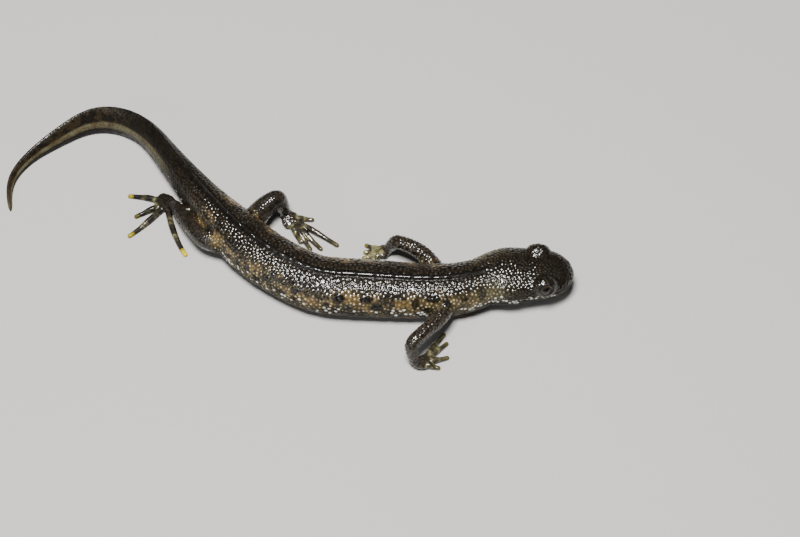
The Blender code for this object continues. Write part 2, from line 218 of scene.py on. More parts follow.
notches = np.sin(ring_at * 2 * math.pi / RIDGE_NOTCHES) * np.sin(ring_at * 0.9)
ridge = between(RIDGE, ring_at) * (0.9 + 0.22 * notches)
rise = rise + np.where(up > 0, ridge[:, None] * bell(side, RIDGE_WIDTH), 0)
lean = np.radians(between(TAIL_LEAN, ring_at))[:, None]
leaned = side * np.cos(lean) + rise * np.sin(lean)
height = middle - side * np.sin(lean) + rise * np.cos(lean)
drop = np.where(lean[:, 0] > 0, height.min(1) + FLOOR_FLAT, 0)
height = np.maximum(height - drop[:, None], 0)
add_tube(beside(ring_at[:, None], leaned, height))
print("body tube:", height.shape, "rings and points")

# %% [markdown]
# ## Legs
# Each leg is one route from inside the body through the elbow or knee to the palm, with its own thickness
# at each joint. The digits fan out from the palm and lie on the floor.

# %% Leg sizes, the same as the solids'
LEGS = {
    "right_fore": (
        ((23.4, -2.4, 4.6), (25.6, -6.9, 5.4), (29.4, -11.7, 5.9), (29.6, -12.6, 3.7),
         (28.9, -13.5, 1.5), (28.2, -13.2, 0.9), (27.5, -12.7, 0.75)),
        ((56, 7.4, -6), (43, 6.3, 0), (16, 4.9, 4), (-14, 3.2, 8)),
    ),
    "left_fore": (
        ((24.4, 2.6, 4.6), (28.0, 7.5, 5.2), (32.8, 9.9, 5.0), (34.2, 10.4, 3.3),
         (35.0, 10.5, 1.5), (35.6, 10.4, 0.9), (36.2, 10.3, 0.75)),
        ((156, 3.8, -10), (179, 3.7, 0), (197, 4.1, 0), (219, 3.4, 10)),
    ),
    "left_hind": (
        ((65.4, 1.8, 4.4), (66.6, 6.6, 5.0), (66.3, 9.9, 5.6), (65.6, 10.6, 3.6),
         (64.6, 10.8, 1.6), (63.4, 10.8, 1.0), (62.2, 10.7, 0.8)),
        ((-66, 5.4, 10), (-58, 7.6, 0), (-47, 8.8, 0), (-32, 10.6, -8), (0, 4.3, -10)),
    ),
    "right_hind": (
        ((64.6, -1.4, 4.4), (68.6, -4.6, 4.4), (72.8, -5.0, 4.2), (77.2, -4.6, 3.1),
         (79.8, -4.5, 1.8), (81.3, -4.9, 1.0), (82.5, -5.5, 0.8)),
        ((-46, 4.5, 16), (-71, 11.8, 24), (-134, 9.7, -14), (-155, 6.3, 5), (165, 7.4, 20)),
    ),
}
FORE_SIZES = ((1.9, 1.9), (1.45, 1.45), (1.28, 1.25), (1.2, 1.15), (0.95, 0.85), (1.45, 0.75), (1.5, 0.7))
HIND_SIZES = ((2.5, 2.4), (2.1, 2.0), (1.75, 1.65), (1.45, 1.4), (1.1, 0.95), (1.75, 0.85), (1.8, 0.75))
DIGIT_RADII = np.array([(0, 0.72), (1, 0.58), (2, 0.6), (3, 0.5), (4, 0.46)])
DIGIT_HEIGHT, PAD_END = 0.8, 1.1


def smooth_route(points, per_joint):
    """Points along a smooth curve through the given ones."""
    points = np.array(points, float)
    found, last = [], len(points) - 1
    for i in range(last):
        a, b = points[i], points[i + 1]
        leave = (b - points[max(i - 1, 0)]) / 2
        arrive = (points[min(i + 2, last)] - a) / 2
        for t in np.arange(per_joint + (i == last - 1)) / per_joint:
            found.append(a * (2 * t**3 - 3 * t**2 + 1) + leave * (t**3 - 2 * t**2 + t)
                         + b * (3 * t**2 - 2 * t**3) + arrive * (t**3 - t**2))
    return np.array(found)


def tube_rings(route, wide, thick, around):
    """Rings across a route. Their up direction is level at the end and carried back from there."""
    along = np.gradient(route, axis=0)
    along /= np.linalg.norm(along, axis=1)[:, None]
    up = np.array([0.0, 0.0, 1.0])
    rings = []
    angles = 2 * math.pi * np.arange(around) / around
    for point, forward, w, t in zip(route[::-1], along[::-1], wide[::-1], thick[::-1]):
        up = up - forward * up.dot(forward)
        up /= np.linalg.norm(up)
        sideways = np.cross(forward, up)
        rings.append(point + np.outer(np.cos(angles) * w, sideways) + np.outer(np.sin(angles) * t, up))
    return np.array(rings[::-1])


def soft_end(route, wide, thick, reach):
    """Carries a route on past its end, with sizes that close it like a fingertip."""
    forward = route[-1] - route[-2]
    forward /= np.linalg.norm(forward)
    turns = np.linspace(0, math.pi / 2, 6)[1:-1]
    more = route[-1] + np.outer(np.sin(turns) * reach, forward)
    return (np.concatenate([route, more]), np.concatenate([wide, wide[-1] * np.cos(turns)]),
            np.concatenate([thick, thick[-1] * np.cos(turns)]))


print("legs:", ", ".join(LEGS))

# %% [markdown]
# A digit's route starts at the palm's hub and turns a little at every step, which gives its natural curl. The
# knuckle is lifted off the floor, and the tip lies on it.

# %% Add legs and digits to the clay
PER_JOINT, PER_DIGIT = 12, 24
LEG_INSET, DIGIT_INSET, LID_CLAY_INSET = 0.04, 0.02, 0.05
leg_routes, digit_routes = {}, []
for name, (joints, digits) in LEGS.items():
    sizes = np.array([(i, *size) for i, size in enumerate(FORE_SIZES if "fore" in name else HIND_SIZES)])
    route = smooth_route([beside(*joint) for joint in joints], PER_JOINT)
    place = np.linspace(0, len(joints) - 1, len(route))
    wide, thick = between(sizes, place, 1) - LEG_INSET, between(sizes, place, 2) - LEG_INSET
    leg_routes[name] = (route, place)
    add_tube(tube_rings(*soft_end(route, wide, thick, PAD_END), 32))
    hub = beside(*joints[-2])
    for number, (direction, length, bend) in enumerate(digits):
        share = np.linspace(0, 1, PER_DIGIT + 1)
        turned = np.radians(direction - bend / 2 + bend * (share[:-1] + share[1:]) / 2)
        radius = between(DIGIT_RADII, share * 4)
        lift = 0.35 * np.sin(math.pi * np.minimum(share * 1.3, 1))
        route = np.stack([
            hub[0] + np.concatenate([[0], np.cumsum(np.cos(turned))]) * length / PER_DIGIT,
            hub[1] + np.concatenate([[0], np.cumsum(np.sin(turned))]) * length / PER_DIGIT,
            radius * DIGIT_HEIGHT + lift,
        ], axis=1)
        digit_routes.append((route, share, name))
        inner = radius - DIGIT_INSET
        add_tube(tube_rings(*soft_end(route, inner, inner, DIGIT_RADII[-1, 1]), 20))
print("digits:", len(digit_routes), "tubes in all:", len(clay_points))

# %% [markdown]
# The eyelids are swellings on the clay. The eyeballs sit in them later.

# %% Lids
EYE_RADIUS = 1.35
EYE_PLACES = {"left": (6.3, 4.0, 6.7), "right": (5.8, -4.0, 6.7)}
LID_RADII, LID_INSET = (2.45, 2.0, 2.05), 0.55  # along, across and above
eye_centres = {name: beside(*place) for name, place in EYE_PLACES.items()}
for name, (at, _, eye_height) in EYE_PLACES.items():
    centre = eye_centres[name]
    inward = beside(at, 0, eye_height - 1.6) - centre
    middle_point = centre + inward / np.linalg.norm(inward) * LID_INSET
    polar = np.linspace(0.05, math.pi - 0.05, 24)[:, None]
    angles = 2 * math.pi * np.arange(40) / 40
    long, wide, high = np.array(LID_RADII) - LID_CLAY_INSET
    add_tube(middle_point + np.stack(np.broadcast_arrays(
        long * np.sin(polar) * np.cos(angles), wide * np.cos(polar), high * np.sin(polar) * np.sin(angles),
    ), axis=-1))
print("tubes with the lids:", len(clay_points))

# %% [markdown]
# ## One skin
# The voxels have to be finer than the smallest granule that the photograph shows, about half a millimetre
# across. The work is done in millimetres, because Blender rounds tiny sizes.

# %% Remesh the clay
VOXEL = 0.105
clay = bpy.data.meshes.new("clay")
clay.from_pydata(np.concatenate(clay_points), [], clay_faces)
clay_object = add_object("clay", clay)
remesh = clay_object.modifiers.new("melt", "REMESH")
remesh.mode = "VOXEL"
remesh.voxel_size = VOXEL
skin_mesh = bpy.data.meshes.new_from_object(clay_object.evaluated_get(bpy.context.evaluated_depsgraph_get()))
bpy.data.objects.remove(clay_object)
bpy.data.meshes.remove(clay)
points = np.empty(len(skin_mesh.vertices) * 3)
skin_mesh.vertices.foreach_get("co", points)
points = points.reshape(-1, 3)
edges = np.empty(len(skin_mesh.edges) * 2, int)
skin_mesh.edges.foreach_get("vertices", edges)
edges = edges.reshape(-1, 2)
print("skin:", len(points), "points,", len(skin_mesh.polygons), "faces")

# %% [markdown]
# A point pulled towards the average of its neighbours smooths the skin. A few rounds take out the voxels'
# steps everywhere. More rounds, only where a leg leaves the body, turn the crease there into a soft fold.

# %% Smoothing
CLAY_ROUNDS, FOLD_ROUNDS = 12, 16
neighbour_count = np.bincount(edges.ravel(), minlength=len(points))[:, None]


def neighbour_mean(values):
    """The mean of each point's neighbours' values."""
    total = np.zeros_like(values)
    for column in range(values.shape[1]):
        total[:, column] = (
            np.bincount(edges[:, 0], values[edges[:, 1], column], len(values))
            + np.bincount(edges[:, 1], values[edges[:, 0], column], len(values))
        )
    return total / neighbour_count


for _ in range(CLAY_ROUNDS):
    points += 0.5 * (neighbour_mean(points) - points)
print("smoothed", CLAY_ROUNDS, "times")

# %% [markdown]
# Markings and granules follow the body, so each point needs its place on it: how far behind the snout, how
# far round from the ridge, and whether it is on a leg.

# %% Where each point is on the body
def nearest_on_line(spots, line, chunk=8000):
    """The index of the nearest point of a line to each spot, and the distance."""
    index = np.empty(len(spots), int)
    distance = np.empty(len(spots))
    line = line.astype(np.float32)
    for start in range(0, len(spots), chunk):
        part = spots[start:start + chunk].astype(np.float32)
        gaps = ((part[:, None, :] - line[None]) ** 2).sum(-1)
        found = gaps.argmin(1)
        index[start:start + chunk] = found
        distance[start:start + chunk] = np.sqrt(gaps[np.arange(len(part)), found])
    return index, distance


spine_line = np.stack([spine_x, spine_y], axis=1)


def locate(spots):
    """Each spot's distance behind the snout, and its place to the left of the spine."""
    index, _ = nearest_on_line(spots[:, :2], spine_line)
    away = spots[:, :2] - spine_line[index]
    heading = headings[index]
    behind = -(away[:, 0] * np.cos(heading) + away[:, 1] * np.sin(heading))
    sideways = -away[:, 0] * np.sin(heading) + away[:, 1] * np.cos(heading)
    return stations[index] + behind, sideways


def section_place(along, sideways, height):
    """Where a point is on the body's section: its angle from the ridge, and its reach (1 is on the skin)."""
    half_width, middle, half_height, _ = section(np.clip(along, 0.3, LENGTH - 0.3))
    lean = np.radians(between(TAIL_LEAN, along))
    up = height - middle * np.where(lean > 0, np.cos(lean) * 0.98, 1)
    out = sideways * np.cos(lean) - up * np.sin(lean)
    up = up * np.cos(lean) + sideways * np.sin(lean)
    out, up = out / half_width, up / half_height
    return np.arctan2(np.abs(out), up), np.hypot(out, up)


along, sideways = locate(points)


def behind(start, full):
    """A soft step along the body: 0 at one distance behind the snout, 1 at the other."""
    return smooth_step(start, full, along)


turn_from_ridge, reach = section_place(along, sideways, points[:, 2])
on_leg = smooth_step(1.05, 1.3, reach) * behind(18.5, 20.5)
leg_points = np.concatenate([route for route, _ in leg_routes.values()])
leg_places = np.concatenate([place for _, place in leg_routes.values()])
nearest_leg, leg_distance = nearest_on_line(points, leg_points)
leg_place = leg_places[nearest_leg]
leg_names = np.concatenate([[name] * len(route) for name, (route, _) in leg_routes.items()])
thigh = on_leg * np.isin(leg_names[nearest_leg], ["left_hind", "right_hind"]) * smooth_step(4.6, 3, leg_place)
near_root = bell(leg_place - 0.7, 0.75) * smooth_step(4.2, 2.6, leg_distance) * behind(18, 21)
around_eye = np.min([np.linalg.norm(points - centre, axis=1) for centre in eye_centres.values()], axis=0)
lid_edge = bell(around_eye - 2.4, 0.6)
for _ in range(FOLD_ROUNDS):
    points += 0.5 * np.maximum(near_root, lid_edge)[:, None] * (neighbour_mean(points) - points)
print("points on legs:", int((on_leg > 0.5).sum()), "softened at leg roots:", int((near_root > 0.3).sum()))

# %% [markdown]
# ## The head
# The upper lip overhangs the lower jaw a little, and the mouth is a fine line that ends under the eye's rear
# edge. These are too fine for the clay, so points are pushed in and out along the skin's normals.

# %% Normals and pushing
corner_count = len(skin_mesh.loops)
faces = np.empty(corner_count, int)
skin_mesh.loops.foreach_get("vertex_index", faces)
faces = faces.reshape(-1, 4)


def normals_of(points):
    """A normal for each point, from the diagonals of the faces around it."""
    a, b, c, d = (points[faces[:, k]] for k in range(4))
    flat = np.cross(c - a, d - b)
    total = np.zeros_like(points)
    for k in range(4):
        for column in range(3):
            total[:, column] += np.bincount(faces[:, k], flat[:, column], len(points))
    return total / np.linalg.norm(total, axis=1)[:, None]


def push(amount):
    """Moves the points along their normals by an amount in millimetres."""
    points[:] += normals_of(points) * amount[:, None]


print("quads:", len(faces))

# %% [markdown]
# A bell-shaped push along a line makes a groove or a lip, and one around a point makes a pit. The nostrils
# sit just above the lip at the front, and a fold crosses the throat behind the jaw.

# %% Mouth, nostrils and throat fold
MOUTH_DEPTH, NOSTRIL_DEPTH, FOLD_DEPTH = 0.3, 0.34, 0.2
MOUTH_LINE = np.array([(0, 4.3), (3, 4.45), (7, 4.5), (10.5, 4.95)])
MOUTH_CORNER = 10.2
NOSTRIL_AT, NOSTRIL_SIDE, NOSTRIL_HEIGHT = 0.95, 1.75, 5.75
height = points[:, 2]
over_mouth = height - between(MOUTH_LINE, along)
by_mouth = smooth_step(MOUTH_CORNER + 0.6, MOUTH_CORNER - 0.8, along)
lower_jaw = by_mouth * smooth_step(0.02, -0.2, over_mouth) * smooth_step(-2.2, -0.8, over_mouth)
push(-0.14 * lower_jaw + 0.06 * by_mouth * bell(over_mouth - 0.35, 0.3))
mouth_groove = by_mouth * bell(over_mouth + 0.02, 0.13)
push(-MOUTH_DEPTH * mouth_groove)
for sign in (1, -1):
    gap = np.linalg.norm(points - beside(NOSTRIL_AT, sign * NOSTRIL_SIDE, NOSTRIL_HEIGHT), axis=1)
    push(0.05 * bell(gap - 0.42, 0.16) - NOSTRIL_DEPTH * bell(gap, 0.2))
THROAT_FOLD_AT = 17.6
below_side = smooth_step(1.1, 1.7, turn_from_ridge)
fold_line = along - THROAT_FOLD_AT - 0.9 * np.cos(turn_from_ridge * 2)
throat_fold = bell(fold_line, 0.28) * below_side * (1 - on_leg)
push(-FOLD_DEPTH * throat_fold + 0.08 * bell(fold_line + 0.6, 0.35) * below_side * (1 - on_leg))
print("mouth", MOUTH_DEPTH, "mm deep; points in the throat fold:", int((throat_fold > 0.3).sum()))

# %% [markdown]
# The lids have to hug the eyeballs. Inside the opening, the skin is sunk behind the front of the eyeball.
# Outside it, the skin is kept just proud of the ball, with a thicker rim at the edge of the opening.

# %% Eyelids
OPENING_LONG, OPENING_HIGH = 1.06, 0.92
EYE_FORWARD, EYE_UP = 0.4, 0.5  # how far the eyes look ahead and up, as shares of sideways
eye_axes = {}
for name, centre in eye_centres.items():
    heading = float(np.interp(EYE_PLACES[name][0], stations, headings))
    forward = np.array([math.cos(heading), math.sin(heading), 0])
    out = np.array([-math.sin(heading), math.cos(heading), 0]) * (1 if name == "left" else -1)
    out = out + forward * EYE_FORWARD + np.array([0, 0, EYE_UP])
    out /= np.linalg.norm(out)
    forward = forward - out * forward.dot(out)
    forward /= np.linalg.norm(forward)
    upward = np.cross(forward, out)
    upward *= np.sign(upward[2])
    eye_axes[name] = (forward, upward, out)
    gap = points - centre
    radius = np.linalg.norm(gap, axis=1)
    opening = np.hypot(gap @ forward / OPENING_LONG, gap @ upward / OPENING_HIGH)
    outside = smooth_step(-0.1, 0.25, gap @ out) * (radius < 3)
    lid = np.maximum(radius, EYE_RADIUS + 0.09 + 0.09 * bell(opening - 1.2, 0.17))
    sunk = smooth_step(1.12, 0.98, opening)
    wanted = np.where(opening < 2.2, lid * (1 - sunk) + (EYE_RADIUS - 0.16) * sunk, radius)
    points += gap / radius[:, None] * ((wanted - radius) * outside)[:, None]
    rim = bell(opening - 1.15, 0.25) * outside
    for _ in range(4):
        points += 0.4 * rim[:, None] * (neighbour_mean(points) - points)
    print(name, "eye at", centre.round(2), "points sunk:", int(((sunk > 0.5) & (outside > 0.5)).sum()))

# %% [markdown]
# ## Granules
# A crested newt's skin is covered in rounded granules of mixed sizes, about half a millimetre apart. Seeds
# are scattered over the skin so that no two come closer than that, as the real ones crowd but never overlap.
# Each point of the skin finds its nearest seed, and a dome over each seed makes the granule.

# %% Scattering seeds over the skin
def make_tree(spots):
    tree = KDTree(len(spots))
    for i, spot in enumerate(spots):
        tree.insert(spot, i)
    tree.balance()
    return tree


skin_tree = make_tree(points)


def scatter(wanted, spacing, salt):
    """Chooses points of the skin that keep at least a spacing apart, in a repeatable order."""
    order = np.random.default_rng(salt).permutation(np.flatnonzero(wanted))
    free = np.ones(len(points), bool)
    chosen = []
    for i in order:
        if free[i]:
            chosen.append(i)
            free[[found for _, found, _ in skin_tree.find_range(points[i], spacing[i])]] = False
    return np.array(chosen)


def nearest_seed(seeds):
    """For each point of the skin, the number of its nearest seed and the distance to it."""
    tree = make_tree(points[seeds])
    found = [tree.find(point)[1:] for point in points]
    return np.array([number for number, _ in found]), np.array([gap for _, gap in found])


print("points to choose from:", len(points))

# %% [markdown]
# Granules are smaller on the head, finer still on the snout and the tail, nearly flat on the belly and the
# digits, and missing at the mouth and the eyes. Each of those zones is one soft mask over the points.

# %% Sizes of the granules
turned = turn_from_ridge / math.pi  # 0 at the ridge, 1 at the middle of the belly
on_head = behind(16, 11)
on_snout = behind(8.5, 2.5)
on_tail = behind(74, 90)
to_tip = behind(95, 128)
uneven = 0.5 * np.sin(along * 1.3 + 2 * np.sin(points[:, 1])) + 0.5 * np.sin(along * 2.9 + points[:, 1] * 1.7)
on_belly = smooth_step(0.76, 0.82, turned + 0.025 * uneven) * (1 - on_leg)
on_belly = on_belly * behind(78, 70) * smooth_step(17, 19, along + 0.9 * uneven)
digit_points = np.concatenate([route for route, _, _ in digit_routes])
digit_shares = np.concatenate([share for _, share, _ in digit_routes])
nearest_digit, digit_distance = nearest_on_line(points, digit_points)
digit_share = digit_shares[nearest_digit]
on_digit = on_leg * smooth_step(1.25, 0.85, digit_distance) * smooth_step(0.12, 0.25, digit_share)
ridge_here = behind(13, 19) * behind(88, 76) * (turned < 0.4)
beside_ridge = smooth_step(0.3, 0.8, np.abs(sideways)) * ridge_here + 1 - ridge_here
BACK_SPACING = 0.54  # millimetres at least between two granules' middles, at the hips and neck
spacing = BACK_SPACING * (1 + 0.16 * bell(along - 38, 17))
spacing = spacing * (1 - 0.1 * on_head) * (1 - 0.2 * on_tail) * (1 - 0.15 * on_leg)
relief = (1 - 0.1 * on_head) * (1 - 0.38 * on_snout) * (1 - 0.62 * on_tail) * (1 - 0.5 * to_tip)
relief = relief * (1 - 0.6 * on_belly) * (1 - 0.05 * on_leg) * (1 - 0.8 * on_digit) * (1 - 0.55 * thigh)
relief = relief * smooth_step(1.5, 1.8, around_eye) * smooth_step(0.02, 0.3, points[:, 2]) * beside_ridge
relief = relief * (1 - by_mouth * bell(over_mouth, 0.3))
print("belly points:", int((on_belly > 0.5).sum()), "digit points:", int((on_digit > 0.5).sum()))

# %% [markdown]
# After the domes come the ridge's crest, the grooves between the ribs and a very fine crumple, which breaks
# up the glints as real damp skin does.

# %% Raise the granules
GRANULE_SALT, DRAW_SALT, CRUMPLE_SALT, SPOT_SALT, BLOTCH_SALT = 5, 6, 8, 23, 37
seeds = scatter(np.ones(len(points), bool), spacing, GRANULE_SALT)
seed_of, seed_gap = nearest_seed(seeds)
draws = np.random.default_rng(DRAW_SALT).random((len(seeds), 3))
size_draw, white_draw, tone_draw = draws[seed_of].T
seed_reach = spacing * (0.62 + 0.16 * size_draw)
granule = np.maximum(1 - (seed_gap / seed_reach) ** 2, 0) ** 1.5
GRANULE_HEIGHT = 0.13
push(relief * GRANULE_HEIGHT * (0.65 + 0.5 * size_draw) * granule + 0.045 * thigh)
push(ridge_here * (0.14 * bell(sideways, 0.24) - 0.05 * bell(np.abs(sideways) - 0.6, 0.2)))
COSTAL_SPACING = 2.5  # between the shallow grooves down the flanks
costal = bell((along + 0.8 * np.cos(turn_from_ridge)) % COSTAL_SPACING - COSTAL_SPACING / 2, 0.4)
costal = costal * behind(26, 29) * behind(63, 60)
costal = costal * smooth_step(0.25, 0.4, turned) * (1 - on_leg)
push(-0.05 * costal)
FINE_RELIEF = 0.007
crumple = np.random.default_rng(CRUMPLE_SALT).normal(size=(len(points), 1))
for _ in range(2):
    crumple = neighbour_mean(crumple)
crumple = crumple[:, 0] / crumple.std()
push(FINE_RELIEF * crumple * smooth_step(1.5, 1.8, around_eye) * (1 - 0.6 * on_tail) * (1 - 0.5 * on_digit))
print("granules:", len(seeds), "highest", round(GRANULE_HEIGHT * 1.15, 3), "mm")

# %% [markdown]
# The skin is kept inside the solids' box, and its undersides rest on the floor.

# %% Keep to the box
low = np.array(cad_low) / MM
high = np.array(cad_high) / MM
print("points outside the box:", int(((points < low) | (points > high)).any(1).sum()))
points = np.clip(points, low, high)

# %% [markdown]
# ## Markings
# Each marking is a number from 0 to 1 on every point, stored as a named attribute that the material reads.
# Painting an image would do as well, but numbers that follow the body's own lengths and angles need no
# unwrapping. The flanks are ochre and the belly orange, with a ragged border between them.

# %% Flanks and belly
marks = {}


def show_means(*names):
    print({name: round(float(marks[name].mean()), 3) for name in names})


flank_top = 0.2 + 0.035 * np.sin(along * 0.42) + 0.02 * np.sin(along * 1.1 + 2)
off_leg = 1 - on_leg
trunk = behind(14, 20) * behind(78, 68)
flank = smooth_step(-0.04, 0.1, turned - flank_top) * smooth_step(0.82, 0.72, turned) * off_leg * trunk
flank = flank * (1 - 0.45 * smooth_step(0.4, 0.5, turned) * behind(56, 46))
hip_patch = bell(along - 71.5, 2.4) * bell(turned - 0.25, 0.08)
marks["flank"] = np.maximum(flank, hip_patch)
ochre = 1 - 0.75 * smooth_step(0.32, 0.46, turned) * behind(44, 52)
marks["ochre"] = ochre * (1 - 0.6 * bell(along - 25, 7))
marks["belly"] = on_belly
show_means("flank", "ochre", "belly")

# %% [markdown]
# A male's tail carries a pale band low on each side, over a dark lower edge. It rises towards the hips and
# fades there. Above it, the rear half is a mottled olive.

# %% Tail
TAIL_BAND_AT, TAIL_BAND_RISE, TAIL_BAND_HALF = 0.535, 0.12, 0.085
band_at = TAIL_BAND_AT - TAIL_BAND_RISE * behind(98, 87)
below_band = turned - band_at
tail_band = smooth_step(TAIL_BAND_HALF + 0.03, TAIL_BAND_HALF - 0.03, np.abs(below_band))
marks["tail_band"] = tail_band * behind(82, 92) * off_leg
marks["tail_olive"] = behind(94, 106) * (below_band < 0)
marks["tail_tip"] = behind(126, 132)
show_means("tail_band", "tail_olive", "tail_tip")

# %% [markdown]
# The same masks serve again for the granule tops, the pale cheek, the painted highlight along the lip, the
# painted shade in the ridge's grooves and under the jaw, the tail's own dark lower edge, and the wetness.
# The upper side holds the water film that glitters.

# %% Granule tops, cheek, dark parts and wetness
marks["leg"] = on_leg
marks["digit"] = on_digit
marks["granule"] = granule * np.clip(relief, 0, 1)
marks["tone"] = tone_draw
marks["cheek"] = bell(along - 16, 3.4) * bell(turned - 0.33, 0.13)
# The lip mask is a painted highlight: a pale line along the upper lip's edge, where it catches the light.
marks["lip"] = by_mouth * bell(over_mouth - 0.3, 0.2) * behind(1, 3)
# The dark mark is painted shade in the grooves beside the ridge and under the jaw, where the lower jaw lies in
# shadow; under the tail it is the tail's own dark lower edge.
under_tail = on_tail * smooth_step(0, 0.05, below_band - TAIL_BAND_HALF)
under_jaw = smooth_step(20, 16, along + uneven) * smooth_step(0.5, 0.6, turned)
ridge_groove_shade = ridge_here * bell(np.abs(sideways) - 0.6, 0.25)
marks["dark"] = np.max([0.6 * ridge_groove_shade, 0.9 * under_tail, 0.85 * under_jaw], axis=0)
groove_side = ridge_here * smooth_step(0.12, 0.3, np.abs(sideways)) * smooth_step(1.3, 0.9, np.abs(sideways))
low_side = 0.85 * smooth_step(0.3, 0.46, turned) + 0.1 * smooth_step(0.46, 0.56, turned)
wet = 1 - low_side * off_leg - 0.85 * behind(72, 82) - 0.9 * groove_side
marks["wet"] = np.clip(wet, 0.05, 1)
# The fold mark is painted shade, darkening the costal grooves, the throat fold and the mouth line.
marks["fold"] = np.clip(costal * 0.4 + throat_fold + mouth_groove, 0, 1)
show_means("granule", "cheek", "lip", "dark", "wet", "fold")

# %% [markdown]
# Hands and feet are dark with paler knuckles, and the hind toes end in yellow. Each leg has its own strength,
# as the real ones differ. The pale parts run along the digits as streaks.

# %% Hands and feet
PALE_HAND = {"right_fore": 0.16, "left_fore": 0.75, "left_hind": 0.15, "right_hind": 0.03}
TIP_STRENGTH = {
    "right_fore": (0.06, 0.06, 0.06, 0.06), "left_fore": (0.16, 0.12, 0.1, 0.1),
    "left_hind": (0.03, 0.03, 0.03, 0.05, 0.03), "right_hind": (0.3, 0.95, 0.45, 0.12, 0.5),
}
JOINT_SHARES, JOINT_WIDTH = (0.36, 0.64), 0.055
_, beside_digit = nearest_on_line(points[:, :2], digit_points[:, :2])
pale_hand = np.array([PALE_HAND[leg] for _, _, leg in digit_routes]).repeat(PER_DIGIT + 1)
marks["pale_hand"] = pale_hand[nearest_digit] * on_leg * (0.2 + 0.8 * smooth_step(0.6, 0.2, beside_digit))
joint_marks = sum(bell(digit_share - share, JOINT_WIDTH) for share in JOINT_SHARES)
marks["digit_joint"] = np.clip(joint_marks, 0, 1) * on_digit
tip_strength = np.array([strength for leg in LEGS for strength in TIP_STRENGTH[leg]]).repeat(PER_DIGIT + 1)
digit_tip = smooth_step(0.88, 0.95, digit_share) * smooth_step(1.2, 0.9, digit_distance) * on_leg
marks["digit_tip"] = digit_tip * tip_strength[nearest_digit]
show_means("pale_hand", "digit_joint", "digit_tip")

# %% [markdown]
# The black spots of the flanks and the blotches of the belly are scattered like the granules, only wider
# apart. Waves make them uneven. Single granules along the lower flank and throat have white tips.

# %% Spots and white tips
def uneven_spots(wanted, spacing_between, radius, salt):
    """Uneven spots scattered where they are wanted, as numbers from 0 to 1."""
    seeds = scatter(wanted, np.full(len(points), spacing_between), salt)
    number, gap = nearest_seed(seeds)
    own_radius = radius * (0.45 + 0.75 * np.random.default_rng(salt).random(len(seeds))[number])
    wavy = gap + 0.13 * np.sin(points * 3.1).sum(1) + 0.08 * np.sin(points * 7.3 + 1).sum(1)
    return smooth_step(own_radius + 0.15, own_radius - 0.15, wavy)


WHITE_EDGE_AT = 0.485
on_flank = (turned > 0.2) & (turned < 0.6) & (along > 18) & (on_leg < 0.5)
marks["spot"] = uneven_spots(on_flank, 2.3, 0.95, SPOT_SALT)
marks["blotch"] = uneven_spots(on_belly > 0.1, 2.7, 1.5, BLOTCH_SALT)
lower_flank = bell(turned - WHITE_EDGE_AT, 0.05) * off_leg * (1 - on_tail)
lower_flank = lower_flank * behind(3, 6) * (1 - near_root)
white_chance = lower_flank * (0.85 * behind(32, 26) + 0.35 * behind(26, 32))
white_chance = white_chance + 0.22 * under_jaw * smooth_step(0.66, 0.8, turned)
marks["white_tip"] = (white_draw < white_chance) * smooth_step(0.26, 0.6, granule) * (0.6 + 0.4 * tone_draw)
show_means("spot", "blotch", "white_tip")

# %% [markdown]
# The finished points go back to the mesh in metres, and each marking becomes an attribute of its points.

# %% Put the points and marks on the mesh
def finish_mesh(mesh, name, marks):
    """Gives a mesh its markings and soft shading, and puts it in the scene."""
    for label, values in marks.items():
        layer = mesh.attributes.new(label, "FLOAT", "POINT")
        layer.data.foreach_set("value", values.astype(np.float32))
    mesh.update()
    mesh.polygons.foreach_set("use_smooth", np.ones(len(mesh.polygons), bool))
    mesh.name = name
    return add_object(name, mesh)


skin_mesh.vertices.foreach_set("co", (points * MM).ravel())
skin = finish_mesh(skin_mesh, "newt_skin", marks)
print("skin faces:", len(skin_mesh.polygons), "attributes:", len(marks))

# %% [markdown]
# ## Eyes
# The eye is a ball with a slightly raised front. The pupil and iris are painted on it by the angle from its
# axis, under a glossy coat. A separate clear shell would bend light as a real one does, but on an eye this
# small a coat looks the same.

# %% Build the eyes
EYE_RINGS, EYE_POINTS = 40, 64
CORNEA_RISE = 0.05


def build_eye(name, centre, axes):
    """A ball whose rings are counted from the middle of the pupil."""
    forward, upward, out = axes
    polar = np.linspace(0, math.pi, EYE_RINGS + 1)[1:-1, None]
    angles = 2 * math.pi * np.arange(EYE_POINTS) / EYE_POINTS
    radius = EYE_RADIUS + CORNEA_RISE * bell(polar, 0.5)
    ring = radius * np.sin(polar)
    rings = centre + (
        (ring * np.cos(angles))[..., None] * forward
        + (ring * np.sin(angles))[..., None] * upward
        + (radius * np.cos(polar) * np.ones(EYE_POINTS))[..., None] * out
    )
    tips = np.array([centre + out * (EYE_RADIUS + CORNEA_RISE), centre - out * EYE_RADIUS])
    spots = np.concatenate([rings.reshape(-1, 3), tips]) * MM
    mesh = bpy.data.meshes.new(name)
    mesh.from_pydata(spots, [], tube_faces(len(polar), EYE_POINTS))
    from_pupil = np.concatenate([np.repeat(polar[:, 0], EYE_POINTS), [0, math.pi]]) / math.pi
    return finish_mesh(mesh, name, {"from_pupil": from_pupil})


eyes = {side: build_eye(f"newt_eye_{side}", eye_centres[side], eye_axes[side]) for side in eye_centres}
print("eyes:", [eye.name for eye in eyes.values()])

# %% [markdown]
# ## Finishes
# The skin and the eyes share two effects, so each is a node group that is built once: a soft mottle that
# varies a colour, and a damp film that varies the gloss. A group gives only masks and values, and the shader
# stays outside it. Nodes are many and alike, so small helpers make and link them.

# %% Helpers for nodes
def new_material(name):
    """A material with its node tree and shader."""
    made = bpy.data.materials.new(name)
    made.use_nodes = True
    return made, made.node_tree, made.node_tree.nodes["Principled BSDF"]


